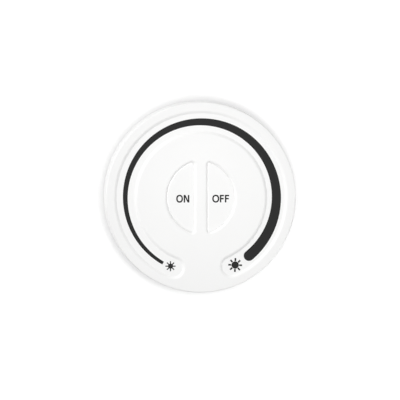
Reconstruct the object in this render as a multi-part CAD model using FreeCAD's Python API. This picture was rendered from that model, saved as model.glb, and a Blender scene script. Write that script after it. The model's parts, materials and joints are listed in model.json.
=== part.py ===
"""Round wireless dimmer switch: moulded case, two keys, touch track, board and coin cell.

Millimetres. The control lies on its back: +Z points out of the face, +Y is up on the wall.
The origin is the middle of the plane that its four feet stand on.
"""
import FreeCAD, Part
import math
import os

Vector = FreeCAD.Vector
UP = Vector(0, 0, 1)
ORIGIN = Vector(0, 0, 0)

# Case shell
case_radius = 35.0          # widest, at the back edge of the skirt
dome_rise = 0.6             # height of the face's crown above its edge
rim_round = 0.5             # rounding between face and skirt
skirt_draft = 1.0           # degrees, the skirt narrows towards the face
skirt_lift = 0.3            # back edge of the skirt above the table
skirt_edge_bevel = 0.3      # outer corner of that back edge
skirt_wall = 1.9            # skirt thickness, measured at the back
face_wall = 2.0             # thickness of the domed face

# Touch track
track_inset = 7.45          # middle of the track, in from the case's edge
track_width = 7.4           # measured half way down its walls
track_depth = 0.6
track_wall_run = 0.9        # how far each sloping wall runs sideways
track_start = -66.3         # polar angle of the wide end's centre
track_end = 248.7           # polar angle of the narrow end's centre
lip_bevel = 0.2             # upper edge of every recess in the face

# D-shaped keys
bar_width = 4.2             # bridge of the face between the two wells
key_band = 11.09            # face between the track and a well's curved side
key_arc_past = 1.2          # the curve's centre lies this far past the middle
key_corner = 1.2            # rounding where curve and straight side meet
key_inner_corner = 0.2      # least such rounding inside a key
key_recess = 0.65           # key tops below the face
key_wall_run = 0.6          # how far a well's sloping wall runs sideways
key_ledge = 0.12            # level ring between the slope and the gap round a key
key_gap = 0.07              # gap round a key
key_plate = 1.2             # thickness of a key's top
key_skirt = 1.1             # thickness of a key's side wall
key_edge_bevel = 0.15       # upper edge of a key
key_travel = 0.3
flange_reach = 0.8          # a key's flange beyond the hole in the face
flange_height = 0.8
slide_gap = 0.05            # play between parts that slide or seat
stem_radius = 1.3
stem_length = 1.58          # from the underside of a key's top to its tip
key_rib = 0.8               # thickness of the ribs inside a key
key_rib_height = 0.7

# Guide frame
frame_shelf = 0.8           # shelf under the key flanges
frame_wall = 1.2            # ring round the flanges
frame_gap = 0.15            # between a flange and the ring
shelf_lap = 0.9             # shelf under the edge of a flange
frame_ring = 0.8            # eyes that the case screws clamp
arm_width = 3.2
arm_clearance = 0.4         # arms above the board

# Case screws and their bosses
boss_radius = 2.6
boss_count = 4
boss_turn = 45.0
boss_film_gap = 0.7         # between a boss and the touch film
screw_radius = 1.0
screw_head_radius = 1.9
screw_head_height = 1.3
screw_head_bevel = 0.4
screw_bite = 2.0            # length of thread in a boss
pilot_room = 0.2            # pilot hole beyond the screw's tip
boss_fin_length = 7.8
screw_recess = 0.9          # screw heads below the back face
thread_clearance = 0.02
hole_clearance = 0.2
drive_width = 0.45          # cross slot in a screw head
drive_length = 2.2
drive_depth = 0.7

# Skirt ribs
skirt_rib_count = 16
skirt_rib_width = 0.8
rib_root = 0.4              # how far a rib, post or lug runs into the wall that carries it
skirt_rib_depth = 1.3
skirt_rib_drop = 0.9        # rib ends below the touch film

# Rear cover
foot_standoff = 0.5         # feet proud of the back face
rear_wall = 1.8
rear_gap = 0.1              # between the rear cover and the skirt
rebate_width = 0.8          # step in the skirt that takes the rear cover
rear_edge_bevel = 0.3
rear_ring_wall = 1.2
rear_ring_height = 2.0
rear_rib_count = 8
rear_rib_width = 0.9
rear_rib_height = 1.4

# Feet
foot_radius = 3.0
foot_thickness = 1.0
foot_inset = 6.5            # foot centres in from the case's edge
foot_edge_bevel = 0.2

# Keyholes for wall screws
keyhole_spacing = 45.0
keyhole_entry_radius = 4.0
keyhole_slot_width = 4.0
keyhole_slot_rise = 5.5     # from the entry's centre up to the hanging place
keyhole_drop = 2.5          # entry centres below the middle of the case
keyhole_pocket_gap = 0.3    # pocket round the screw head, beyond the entry
keyhole_pocket_height = 2.6
keyhole_pocket_wall = 0.9

# Coin cell, size 2032
cell_radius = 10.0
cell_height = 3.2
cell_can_height = 2.9
cell_skin = 0.3
cell_gasket_wall = 0.8
cell_play = 0.05
cell_side_gap = 0.35
cell_edge_bevel = 0.25

# Battery door
door_floor = 1.6
door_wall = 1.15
door_flange_reach = 2.0     # outer flange beyond the neck
door_flange = 0.75
door_edge_bevel = 0.25
door_gap = 0.1
door_lug_count = 3
door_lug_width = 28.0       # degrees
door_lug_reach = 1.3
door_lug_height = 0.85
door_notch_width = 33.0     # degrees
door_turn = 35.0            # degrees from locked to open
door_lug_turn = 55.0        # polar angle of the first lug when locked
coin_slot_length = 14.0
coin_slot_width = 2.2
coin_slot_depth = 0.9
bay_wall = 1.0
bay_drop = 0.3              # the bay's rim below the top of the cell

# Board
board_thickness = 1.0
board_notch = 2.0           # square notch that keys the board to the case
board_gap = 1.0             # between the board and the skirt ribs
contact_room = 1.05         # between the cell and the board

# Tact switches
switch_side = 5.2
switch_height = 1.2
switch_floor = 0.3
switch_cover_thickness = 0.15
switch_cavity_radius = 2.0
switch_corner = 0.5
plunger_radius = 1.0
plunger_collar_radius = 1.6
plunger_collar_height = 0.38
plunger_height = 1.75       # plunger tip above the board
plunger_gap = 0.1
snap_radius = 1.85          # snap dome under a plunger
snap_crown = 0.9            # radius of its flatter crown
snap_shoulder = 0.85        # share of its height that the sides climb
snap_height = 0.33
snap_skin = 0.08
touch_gap = 0.02            # key stem above the plunger
terminal_width = 0.7
terminal_reach = 0.9
terminal_thickness = 0.15

# Touch film and its tail
film_thickness = 0.2
film_glue = 0.03
film_margin = 0.3           # film beyond the track
electrode_count = 12
electrode_gap = 0.6
electrode_margin = 1.0      # pads in from the film's edge
electrode_thickness = 0.05
tail_width = 6.0
tail_bend = 0.5
tail_stand = 1.2            # the tail drops this far inside the film
connector_width = 8.0
connector_depth = 3.4
connector_height = 1.3
connector_inset = 3.3       # socket's middle, in from the touch film
connector_slot = 0.35
connector_slot_play = 0.2   # either side of the tail
latch_inset = 0.8           # latch bar's groove, in from each end of the socket
latch_width = 0.8
latch_depth = 0.35
latch_shift = 0.9           # groove behind the socket's middle

# Parts on the board
shield_x = 0.0
shield_inset = 10.3         # middle of the shield, in from the board's edge
shield_length = 12.0
shield_width = 8.0
shield_height = 1.6
shield_wall = 0.2
chip_side = 5.0
chip_height = 0.85
chip_shift = 2.4            # radio chip and crystal either side of the shield's middle
crystal_length = 3.2
crystal_width = 2.5
crystal_height = 0.8
antenna_length = 7.0
antenna_width = 2.0
antenna_height = 1.2
antenna_inset = 3.3
touch_chip_side = 4.0
touch_chip_inset = 11.3
touch_chip_y = 6.5
small_part_length = 1.6
small_part_width = 0.8
small_part_height = 0.8
capacitor_count = 6
resistor_count = 6
small_part_pitch = 2.2
small_part_inset = 9.3
capacitor_angle = 0.0       # polar angle of the middle of the row
resistor_angle = 195.0
small_bevel = 0.12          # upper edges of the parts on the board

# Battery contacts
contact_sheet = 0.2
contact_width = 4.0
contact_bend = 0.45
contact_foot = 2.4
contact_lead = 3.4          # level length before the middle leaf starts to fall
contact_tip = 0.25          # the leaf's tip turns up by this much
contact_touch = 0.03        # play between a contact and the cell
contact_angle = 0.0         # polar angle of the side contact

# Heights, from the table up
back_z = foot_standoff
rear_top = back_z + rear_wall
cell_base = back_z + door_floor + cell_play
cell_top = cell_base + cell_height
board_base = cell_top + contact_room
board_top = board_base + board_thickness
stem_tip = board_top + plunger_height + touch_gap
key_underside = stem_tip + stem_length
key_top = key_underside + key_plate
crown_z = key_top + key_recess
door_top = rear_top + slide_gap + door_lug_height
boss_end = board_top + frame_ring
rebate_top = rear_top + slide_gap
screw_seat = back_z + screw_recess + screw_head_height

# Radii and places
face_radius = case_radius - (crown_z - dome_rise - skirt_lift) * math.tan(math.radians(skirt_draft))
dome_ball = (face_radius ** 2 + dome_rise ** 2) / (2 * dome_rise)
dome_centre = Vector(0, 0, crown_z - dome_ball)
skirt_inner = case_radius - skirt_wall
rib_inner = skirt_inner - skirt_rib_depth
rebate_radius = skirt_inner + rebate_width
rear_radius = rebate_radius - rear_gap
track_radius = case_radius - track_inset
film_inner = track_radius - track_width / 2 - film_margin
connector_distance = film_inner - connector_inset
boss_circle = film_inner - boss_film_gap - boss_radius
board_radius = rib_inner - board_gap
small_part_distance = board_radius - small_part_inset
foot_circle = case_radius - foot_inset
neck_radius = cell_radius + cell_side_gap + door_wall
lug_radius = neck_radius + door_lug_reach
flange_radius = neck_radius + door_flange_reach
bay_radius = lug_radius + door_gap + bay_wall
bay_top = cell_top - bay_drop
key_reach = track_radius - track_width / 2 - key_band
key_arc_radius = key_reach + key_arc_past
switch_offset = (bar_width / 2 + key_reach) / 2
frame_radius = key_reach + flange_reach + frame_gap + frame_wall
boss_angles = [boss_turn + 360.0 / boss_count * number for number in range(boss_count)]


def dome_height_at(radius, depth=0.0):
    """Height of the face, or of a surface that lies depth under it, at a distance from the middle."""
    ball = dome_ball - depth
    return dome_centre.z + math.sqrt(ball ** 2 - radius ** 2)


def polar(radius, degrees, height=0.0):
    angle = math.radians(degrees)
    return Vector(radius * math.cos(angle), radius * math.sin(angle), height)


def cylinder(radius, low, high, place=ORIGIN):
    return Part.makeCylinder(radius, high - low, Vector(place.x, place.y, low), UP)


def tube(outer, inner, low, high, place=ORIGIN):
    return cylinder(outer, low, high, place).cut(cylinder(inner, low - 1, high + 1, place))


def block(length, width, low, high, place=ORIGIN, turn=0.0):
    """A box centred on a place in plan, turned about its own middle."""
    box = Part.makeBox(length, width, high - low, Vector(-length / 2, -width / 2, low))
    box.rotate(ORIGIN, UP, turn)
    box.translate(Vector(place.x, place.y, 0))
    return box


def ball(depth):
    """The solid ball whose surface lies depth under the domed face.

    Its poles lie on the Y axis and its seam underneath, so neither falls on the face.
    """
    solid = Part.makeSphere(dome_ball - depth, ORIGIN, Vector(0, 1, 0))
    solid.rotate(ORIGIN, Vector(0, 1, 0), 90)
    solid.translate(dome_centre)
    return solid


def revolved(points, start=0.0, sweep=360.0):
    """A profile of (radius, height) points turned about the Z axis."""
    corners = [Vector(radius, 0, height) for radius, height in points]
    face = Part.Face(Part.makePolygon(corners + [corners[0]]))
    solid = face.revolve(ORIGIN, UP, sweep)
    solid.rotate(ORIGIN, UP, start)
    return solid


def sector(outer, inner, low, high, middle, width):
    """A ring sector, width degrees wide about its middle angle."""
    points = [(inner, low), (outer, low), (outer, high), (inner, high)]
    return revolved(points, middle - width / 2, width)


def bevel_edges(solid, size, chosen):
    edges = [edge for edge in solid.Edges if chosen(edge)]
    return solid.makeChamfer(size, edges)


def samples(edge):
    first, last = edge.ParameterRange
    return [edge.valueAt(first + (last - first) * share) for share in (0.1, 0.5, 0.9)]


def level_edge(height, radius=None, place=ORIGIN):
    """Chooses edges that lie at one height and, where a radius is given, on that circle."""
    def chosen(edge):
        for point in samples(edge):
            if abs(point.z - height) > 1e-4:
                return False
            distance = math.hypot(point.x - place.x, point.y - place.y)
            if radius is not None and abs(distance - radius) > 1e-3:
                return False
        return True
    return chosen


def on_ball(depth, within):
    """Chooses edges on the surface that lies depth under the face, inside a radius."""
    def chosen(edge):
        for point in samples(edge):
            if abs(point.distanceToPoint(dome_centre) - (dome_ball - depth)) > 1e-3:
                return False
            if math.hypot(point.x, point.y) > within:
                return False
        return True
    return chosen


def d_outline(side, grow, height):
    """The D shape of a key, side -1 for ON and +1 for OFF, grown outwards by an amount."""
    radius = key_arc_radius + grow
    corner = max(key_corner + grow, key_inner_corner)
    straight = bar_width / 2 - grow
    centre = -key_arc_past
    corner_x = straight + corner
    corner_y = math.sqrt((radius - corner) ** 2 - (corner_x - centre) ** 2)
    lean = math.atan2(corner_y, corner_x - centre)

    def point(x, y):
        return Vector(side * x, y, height)

    def corner_points(sign):
        half = (math.pi + lean) / 2
        tangent = point(centre + radius * math.cos(lean), sign * radius * math.sin(lean))
        middle = point(corner_x + corner * math.cos(half), sign * (corner_y + corner * math.sin(half)))
        return tangent, middle, point(straight, sign * corner_y)

    upper_tangent, upper_middle, upper_end = corner_points(1)
    lower_tangent, lower_middle, lower_end = corner_points(-1)
    edges = [
        Part.makeLine(lower_end, upper_end),
        Part.Arc(upper_end, upper_middle, upper_tangent).toShape(),
        Part.Arc(upper_tangent, point(centre + radius, 0), lower_tangent).toShape(),
        Part.Arc(lower_tangent, lower_middle, lower_end).toShape(),
    ]
    return Part.Wire(edges)


def d_prism(side, grow, low, high):
    return Part.Face(d_outline(side, grow, low)).extrude(Vector(0, 0, high - low))


hole_grow = -key_wall_run / 2 - key_ledge
key_grow = hole_grow - key_gap
flange_grow = hole_grow + flange_reach
flange_top = dome_height_at(key_arc_radius - key_arc_past + flange_grow, face_wall) - slide_gap
flange_base = flange_top - flange_height
shelf_top = flange_base - key_travel - slide_gap


def track_region(half_width, low, high):
    """The C shape of the track as a solid with upright walls and round ends."""
    points = [
        (track_radius - half_width, low),
        (track_radius + half_width, low),
        (track_radius + half_width, high),
        (track_radius - half_width, high),
    ]
    region = revolved(points, track_start, track_end - track_start)
    for angle in (track_start, track_end):
        region = region.fuse(Part.makeCylinder(half_width, high - low, polar(track_radius, angle, low), UP))
    return region.removeSplitter()


def track_half_section():
    """Half of the cut that makes the track, as a face in the XZ plane of the track's own frame.

    X runs across the track from its middle and Z along the face's normal, from the face. The outline goes
    from the middle of the floor out to the sloping wall, up it, over the bevelled lip and out of the face.
    """
    floor_edge = (track_width - track_wall_run) / 2
    wall_top = Vector(floor_edge + track_wall_run, 0, 0)
    climb = Vector(track_wall_run, 0, track_depth).normalize()
    lip_low = wall_top - climb * lip_bevel
    lip_high = wall_top + Vector(lip_bevel, 0, 0)
    lip_out = lip_high * 2 - lip_low
    corners = [
        Vector(0, 0, -track_depth),
        Vector(floor_edge, 0, -track_depth),
        lip_low,
        lip_out,
        Vector(lip_out.x, 0, track_depth),
        Vector(0, 0, track_depth),
    ]
    return Part.Face(Part.makePolygon(corners + [corners[0]]))


def track_cutter():
    """The section swept along the track, and spun about the face's normal at each end.

    The section leans with the face, so the track is equally deep from wall to wall and all the way round.
    """
    lean = math.degrees(math.asin(track_radius / dome_ball))
    place = Vector(track_radius, 0, dome_height_at(track_radius))
    outer_half = track_half_section()
    inner_half = outer_half.mirror(ORIGIN, Vector(1, 0, 0))
    pieces = []
    for half in (outer_half, inner_half):
        half.rotate(ORIGIN, Vector(0, 1, 0), lean)
        half.translate(place)
        swept = half.revolve(ORIGIN, UP, track_end - track_start)
        swept.rotate(ORIGIN, UP, track_start)
        pieces.append(swept)
    normal = (place - dome_centre).normalize()
    for angle, axis in ((track_end, normal), (track_start, -normal)):
        cap = outer_half.revolve(place, axis, 180)
        cap.rotate(ORIGIN, UP, angle)
        pieces.append(cap)
    return pieces[0].multiFuse(pieces[1:]).removeSplitter()


def well_cutter(side):
    level = dome_height_at(0, key_recess / 2)
    slope = key_wall_run / key_recess
    reach = key_recess
    lower = d_outline(side, -reach * slope, level - reach)
    upper = d_outline(side, reach * slope, level + reach)
    region = Part.makeLoft([lower, upper], True, True)
    return region.cut(ball(key_recess))


def cover_outside():
    """The domed face, the rounded rim and the drafted skirt, as one turned solid.

    The seam of the turn lies between the ends of the track, where it crosses no other edge.
    """
    lean = math.radians(skirt_draft)
    climb = Vector(0, math.sin(lean), math.cos(lean))
    inward = Vector(0, math.cos(lean), -math.sin(lean))
    foot = Vector(0, -case_radius, skirt_lift)
    start = foot + inward * rim_round - dome_centre
    along = start.dot(climb)
    rise = math.sqrt(along ** 2 - start.Length ** 2 + (dome_ball - rim_round) ** 2) - along
    rim_centre = dome_centre + start + climb * rise
    rim_low = rim_centre - inward * rim_round
    outward = (rim_centre - dome_centre).normalize()
    rim_high = rim_centre + outward * rim_round
    rim_middle = rim_centre + (outward - inward).normalize() * rim_round
    crown = Vector(0, 0, crown_z)
    face_middle = dome_centre + (crown + rim_high - dome_centre * 2).normalize() * dome_ball
    base = Vector(0, 0, skirt_lift)
    profile = Part.Wire([
        Part.makeLine(base, foot),
        Part.makeLine(foot, rim_low),
        Part.Arc(rim_low, rim_middle, rim_high).toShape(),
        Part.Arc(rim_high, face_middle, crown).toShape(),
        Part.makeLine(crown, base),
    ])
    solid = Part.Face(profile).revolve(ORIGIN, UP, 360)
    return bevel_edges(solid, skirt_edge_bevel, level_edge(skirt_lift, case_radius))


def front_cover():
    inside = cylinder(skirt_inner, skirt_lift - 1, crown_z).common(ball(face_wall))
    shell = cover_outside().cut(inside)
    shell = shell.cut(cylinder(rebate_radius, skirt_lift - 1, rebate_top))
    for side in (-1, 1):
        shell = shell.cut(well_cutter(side))
    shell = bevel_edges(shell, lip_bevel, on_ball(0, key_arc_radius + key_wall_run))
    shell = shell.cut(track_cutter())
    for side in (-1, 1):
        shell = shell.cut(d_prism(side, hole_grow, back_z, crown_z + 1))
    return shell.fuse(cover_ribs()).cut(cover_pilots()).removeSplitter()


def cover_ribs():
    """Screw bosses with their fins, and the ribs down the inside of the skirt."""
    ribs = []
    for angle in boss_angles:
        place = polar(boss_circle, angle)
        boss = cylinder(boss_radius, boss_end, crown_z, place)
        fin_height = (dome_height_at(boss_circle, face_wall) - boss_end) / 2
        fin = block(boss_fin_length, key_rib, boss_end + fin_height, crown_z, place, angle + 90)
        ribs.append(boss.fuse(fin))
    rib_top = dome_height_at(skirt_inner, face_wall) - film_thickness - skirt_rib_drop
    for number in range(skirt_rib_count):
        angle = 360.0 / skirt_rib_count * (number + 0.5)
        middle = polar((skirt_inner + rib_inner + rib_root) / 2, angle)
        ribs.append(block(skirt_rib_depth + rib_root, skirt_rib_width, rebate_top, rib_top, middle, angle))
    joined = ribs[0].multiFuse(ribs[1:])
    return joined.common(ball(face_wall - rib_root))


def cover_pilots():
    pilots = [cylinder(screw_radius + thread_clearance, boss_end - 1, boss_end + screw_bite + pilot_room,
                       polar(boss_circle, angle)) for angle in boss_angles]
    return Part.makeCompound(pilots)


def keycap(side):
    body = d_prism(side, key_grow, flange_base, crown_z).common(ball(key_recess))
    body = bevel_edges(body, key_edge_bevel, on_ball(key_recess, case_radius))
    body = body.fuse(d_prism(side, flange_grow, flange_base, flange_top))
    hollow = d_prism(side, key_grow - key_skirt, flange_base - 1, key_underside)
    body = body.cut(hollow)
    place = Vector(side * switch_offset, 0, 0)
    grid = cylinder(stem_radius, stem_tip, key_underside + rib_root, place)
    rib_low = key_underside - key_rib_height
    rows = [
        block(2 * key_arc_radius, key_rib, rib_low, key_underside + rib_root, place),
        block(key_rib, 2 * key_arc_radius, rib_low, key_underside + rib_root, place),
    ]
    inside = d_prism(side, key_grow - key_skirt / 2, rib_low, key_underside + rib_root)
    grid = grid.multiFuse([row.common(inside) for row in rows])
    return body.fuse(grid).removeSplitter()


def key_guide_frame():
    """Ring and shelf round both keys, with four arms that the case screws clamp."""
    ring_top = dome_height_at(frame_radius, face_wall) - film_glue
    shelf_base = shelf_top - frame_shelf
    frame = cylinder(frame_radius, shelf_base, ring_top)
    for side in (-1, 1):
        frame = frame.cut(d_prism(side, flange_grow + frame_gap, shelf_top, ring_top + 1))
        frame = frame.cut(d_prism(side, flange_grow - shelf_lap, shelf_base - 1, ring_top + 1))
    arm_low = board_top + arm_clearance
    for angle in boss_angles:
        place = polar(boss_circle, angle)
        middle = polar((boss_circle + frame_radius - frame_wall) / 2, angle)
        length = boss_circle - frame_radius + frame_wall
        arm = block(length, arm_width, arm_low, shelf_top, middle, angle)
        arm = arm.cut(cylinder(boss_radius + hole_clearance, boss_end, shelf_top + 1, place))
        eye = cylinder(boss_radius, board_top, boss_end, place)
        frame = frame.fuse(arm.fuse(eye))
        frame = frame.cut(cylinder(screw_radius + hole_clearance, board_top - 1, boss_end + 1, place))
    return frame.removeSplitter()


def strip(path, sheet, width, bend):
    """A sheet of metal or film bent along a path of (across, height) points and centred on X = 0.

    The path lies in the YZ plane. Each inner corner is rounded to the bend radius.
    """
    points = [Vector(0, across, height) for across, height in path]
    edges = []
    last = points[0]
    for before, corner, after in zip(points, points[1:], points[2:]):
        inward = (before - corner).normalize()
        outward = (after - corner).normalize()
        half = inward.getAngle(outward) / 2
        cut = bend / math.tan(half)
        start = corner + inward * cut
        end = corner + outward * cut
        bisector = (inward + outward).normalize()
        middle = corner + bisector * (bend / math.sin(half) - bend)
        edges.append(Part.makeLine(last, start))
        edges.append(Part.Arc(start, middle, end).toShape())
        last = end
    edges.append(Part.makeLine(last, points[-1]))
    wire = Part.Wire(edges)
    heading = (points[1] - points[0]).normalize()
    side = Vector(0, -heading.z, heading.y)
    section = Part.makePolygon([
        points[0] + side * (sheet / 2) + Vector(-width / 2, 0, 0),
        points[0] + side * (sheet / 2) + Vector(width / 2, 0, 0),
        points[0] - side * (sheet / 2) + Vector(width / 2, 0, 0),
        points[0] - side * (sheet / 2) + Vector(-width / 2, 0, 0),
        points[0] + side * (sheet / 2) + Vector(-width / 2, 0, 0),
    ])
    return wire.makePipeShell([section], True, False)


def touch_film():
    region = track_region(track_radius - film_inner, board_top, crown_z)
    outer_depth = face_wall + film_glue
    film = region.common(ball(outer_depth)).cut(ball(outer_depth + film_thickness))
    film_z = dome_height_at(film_inner, outer_depth + film_thickness / 2)
    slot_z = board_top + connector_height / 2
    drop = film_inner - tail_stand
    path = [
        (film_inner + electrode_margin / 2, film_z - film_thickness),
        (drop, film_z - film_thickness),
        (drop, slot_z),
        (connector_distance, slot_z),
    ]
    tail = strip(path, film_thickness, tail_width, tail_bend)
    return film.fuse(tail).removeSplitter()


def touch_electrodes():
    """Copper pads under the film, split evenly along the track."""
    film_depth = face_wall + film_glue + film_thickness
    half_width = track_radius - film_inner - electrode_margin
    skin = ball(film_depth).cut(ball(film_depth + electrode_thickness))
    pitch = (track_end - track_start) / electrode_count
    gap_angle = math.degrees(electrode_gap / track_radius)
    pads = []
    for number in range(electrode_count):
        middle = track_start + pitch * (number + 0.5)
        pad = sector(track_radius + half_width, track_radius - half_width, board_top, crown_z, middle,
                     pitch - gap_angle)
        pads.append(pad.common(skin))
    return Part.makeCompound(pads)


def film_connector():
    place = Vector(0, connector_distance, 0)
    body = block(connector_width, connector_depth, board_top, board_top + connector_height, place)
    slot_z = board_top + connector_height / 2
    mouth = Vector(0, connector_distance + connector_depth / 2, 0)
    slot = block(tail_width + 2 * connector_slot_play, connector_depth + 2 * slide_gap,
                 slot_z - connector_slot / 2, slot_z + connector_slot / 2, mouth)
    top_z = board_top + connector_height
    latch = block(connector_width - 2 * latch_inset, latch_width, top_z - latch_depth, top_z + 1,
                  Vector(0, connector_distance - latch_shift, 0))
    return body.cut(slot).cut(latch)


def main_board():
    board = cylinder(board_radius, board_base, board_top)
    for angle in boss_angles:
        board = board.cut(cylinder(screw_radius + hole_clearance, board_base - 1, board_top + 1,
                                   polar(boss_circle, angle)))
    notch = block(board_notch, board_notch, board_base - 1, board_top + 1, polar(board_radius, 270.0))
    return board.cut(notch)


def switch_place(side):
    return Vector(side * switch_offset, 0, 0)


def switch_base(side):
    place = switch_place(side)
    base = block(switch_side, switch_side, board_top, board_top + switch_height, place)
    base = base.makeChamfer(switch_corner, [edge for edge in base.Edges if upright(edge)])
    cavity = cylinder(switch_cavity_radius, board_top + switch_floor, board_top + switch_height + 1, place)
    return base.cut(cavity)


def upright(edge):
    first, last = edge.valueAt(edge.FirstParameter), edge.valueAt(edge.LastParameter)
    return abs(first.x - last.x) < 1e-6 and abs(first.y - last.y) < 1e-6


def switch_cover(side):
    place = switch_place(side)
    low = board_top + switch_height
    plate = block(switch_side, switch_side, low, low + switch_cover_thickness, place)
    plate = plate.makeChamfer(switch_corner, [edge for edge in plate.Edges if upright(edge)])
    for turn in (-1, 1):
        shift = turn * (switch_side + switch_cover_thickness) / 2
        hook = block(switch_side / 2, switch_cover_thickness, low - switch_height / 2,
                     low + switch_cover_thickness, place + Vector(0, shift, 0))
        plate = plate.fuse(hook)
    return plate.cut(cylinder(plunger_radius + plunger_gap, low - 1, low + 1, place)).removeSplitter()


def switch_dome(side):
    """Sprung steel disc: sides that climb to a shoulder, and a crown that is almost flat."""
    base = board_top + switch_floor + touch_gap
    shoulder = base + snap_height * snap_shoulder
    dome = revolved([
        (snap_radius, base),
        (snap_crown, shoulder),
        (0, base + snap_height),
        (0, base + snap_height - snap_skin),
        (snap_crown - snap_skin, shoulder - snap_skin),
        (snap_radius - 2 * snap_skin, base),
    ])
    dome.translate(switch_place(side))
    return dome


def switch_plunger(side):
    place = switch_place(side)
    low = board_top + switch_floor + touch_gap + snap_height + touch_gap
    collar = cylinder(plunger_collar_radius, low, low + plunger_collar_height, place)
    stem = cylinder(plunger_radius, low, board_top + plunger_height, place)
    stem = bevel_edges(stem, plunger_gap, level_edge(board_top + plunger_height, plunger_radius, place))
    return collar.fuse(stem)


def switch_terminals():
    """Four solder leads beside each switch."""
    leads = []
    for side in (-1, 1):
        for across in (-1, 1):
            for along in (-1, 1):
                place = switch_place(side) + Vector(across * (switch_side + terminal_reach) / 2,
                                                    along * switch_side / 4, 0)
                foot = block(terminal_reach, terminal_width, board_top, board_top + terminal_thickness, place)
                root = place - Vector(across * (terminal_reach - terminal_thickness) / 2, 0, 0)
                riser = block(terminal_thickness, terminal_width, board_top, board_top + switch_floor, root)
                leads.append(foot.fuse(riser).removeSplitter())
    return Part.makeCompound(leads)


def soft_block(length, width, low, high, place, turn=0.0):
    """A small moulded block with its upper edges eased."""
    solid = block(length, width, low, high, place, turn)
    return bevel_edges(solid, small_bevel, level_edge(high))


def shield_can():
    place = Vector(shield_x, shield_inset - board_radius, 0)
    outer = block(shield_length, shield_width, board_top, board_top + shield_height, place)
    outer = outer.makeFillet(shield_wall * 2, [edge for edge in outer.Edges if upright(edge)])
    inner = block(shield_length - 2 * shield_wall, shield_width - 2 * shield_wall, board_top - 1,
                  board_top + shield_height - shield_wall, place)
    return outer.cut(inner)


def radio_chip():
    place = Vector(shield_x - chip_shift, shield_inset - board_radius, 0)
    return soft_block(chip_side, chip_side, board_top, board_top + chip_height, place)


def crystal():
    place = Vector(shield_x + chip_shift + crystal_width / 4, shield_inset - board_radius, 0)
    return soft_block(crystal_width, crystal_length, board_top, board_top + crystal_height, place)


def chip_antenna():
    return soft_block(antenna_length, antenna_width, board_top, board_top + antenna_height,
                      polar(board_radius - antenna_inset, 270.0 + boss_turn), boss_turn)


def touch_chip():
    return soft_block(touch_chip_side, touch_chip_side, board_top, board_top + chip_height,
                      Vector(touch_chip_inset - board_radius, touch_chip_y, 0))


def small_parts(count, middle_angle):
    """A row of small parts along an arc of the board."""
    step = math.degrees(small_part_pitch / small_part_distance)
    parts = []
    for number in range(count):
        angle = middle_angle + (number - (count - 1) / 2) * step
        parts.append(soft_block(small_part_length, small_part_width, board_top, board_top + small_part_height,
                                polar(small_part_distance, angle), angle))
    return Part.makeCompound(parts)


def contact_positive():
    """Leaf that hangs from the board and bears on the side of the cell."""
    outer = cell_radius + contact_touch + contact_sheet / 2
    path = [
        (outer + contact_foot, board_base - contact_sheet / 2),
        (outer, board_base - contact_sheet / 2),
        (outer, cell_base + cell_height / 2),
    ]
    leaf = strip(path, contact_sheet, contact_width, contact_bend)
    leaf.rotate(ORIGIN, UP, contact_angle - 90)
    return leaf


def contact_negative():
    """Leaf that hangs from the board and bears on the middle of the cell's cap."""
    touch_z = cell_top + contact_touch + contact_sheet / 2
    top_z = board_base - contact_sheet / 2
    path = [
        (-contact_foot - contact_lead, top_z),
        (-contact_lead, top_z),
        (0, touch_z),
        (contact_foot, touch_z + contact_tip),
    ]
    return strip(path, contact_sheet, contact_width, contact_bend)


def cell_can():
    low = cell_base
    can = cylinder(cell_radius, low, low + cell_can_height)
    can = bevel_edges(can, cell_edge_bevel, level_edge(low, cell_radius))
    return can.cut(cylinder(cell_radius - cell_skin, low + cell_skin, low + cell_can_height + 1))


def cell_gasket():
    outer = cell_radius - cell_skin - touch_gap
    low = cell_base + cell_skin
    return tube(outer, outer - cell_gasket_wall, low, cell_base + cell_can_height)


def cell_cap():
    radius = cell_radius - cell_skin - cell_gasket_wall - 2 * touch_gap
    cap = cylinder(radius, cell_base + cell_skin, cell_top)
    return bevel_edges(cap, cell_edge_bevel, level_edge(cell_top, radius))


def keyhole(side, grow, low, high):
    """The keyhole's outline as a solid, grown by an amount: round entry below, slot above."""
    x = side * keyhole_spacing / 2
    entry = cylinder(keyhole_entry_radius + grow, low, high, Vector(x, -keyhole_drop, 0))
    top_y = keyhole_slot_rise - keyhole_drop
    slot_radius = keyhole_slot_width / 2 + grow
    end = cylinder(slot_radius, low, high, Vector(x, top_y, 0))
    middle = Vector(x, (top_y - keyhole_drop) / 2, 0)
    slot = block(2 * slot_radius, keyhole_slot_rise, low, high, middle)
    return entry.fuse(end).fuse(slot)


def keyhole_pocket(side, grow, low, high):
    """Room for a screw's head behind the keyhole, as wide as the entry all the way up."""
    x = side * keyhole_spacing / 2
    radius = keyhole_entry_radius + keyhole_pocket_gap + grow
    top_y = keyhole_slot_rise - keyhole_drop
    room = cylinder(radius, low, high, Vector(x, -keyhole_drop, 0))
    room = room.fuse(cylinder(radius, low, high, Vector(x, top_y, 0)))
    middle = Vector(x, (top_y - keyhole_drop) / 2, 0)
    return room.fuse(block(2 * radius, keyhole_slot_rise, low, high, middle))


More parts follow.
